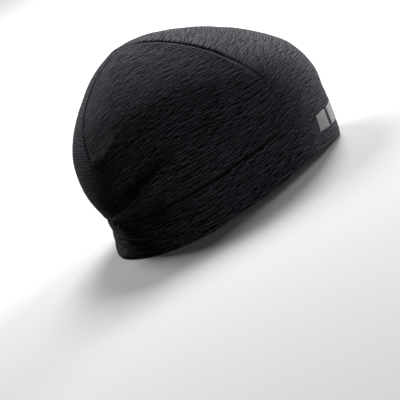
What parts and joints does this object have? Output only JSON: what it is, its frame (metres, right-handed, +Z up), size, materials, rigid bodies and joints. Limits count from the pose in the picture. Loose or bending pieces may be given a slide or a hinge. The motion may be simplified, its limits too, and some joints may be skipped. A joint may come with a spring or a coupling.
{
  "type": "knitted beanie",
  "caption": "Close-fitting melange knitted skull-cap beanie with dart seams meeting at the crown and a turned double hem, standing on its rim in its worn form.",
  "frame": {"origin": "on the floor under the middle of the hat's overall box, in the plane of the rim", "axes": "+Z up through the crown, -Y towards the wearer's face, -X towards the wearer's right ear"},
  "size_m": [0.1696, 0.208, 0.1446],
  "materials": {
    "knit": "matte heathered merino jersey, charcoal to near black",
    "thread": "matte overlock thread, near black",
    "reflective_print": "thin light grey reflective film"
  },
  "bodies": {
    "root": {"knit_body": "knit", "hem_band": "knit", "band_seam": "thread", "dart_seam_front_right": "thread", "dart_seam_back_right": "thread", "dart_seam_back_left": "thread", "dart_seam_front_left": "thread", "reflective_block_1": "reflective_print", "reflective_block_2": "reflective_print", "reflective_block_3": "reflective_print", "reflective_block_4": "reflective_print", "reflective_block_5": "reflective_print"}
  },
  "joints": []
}
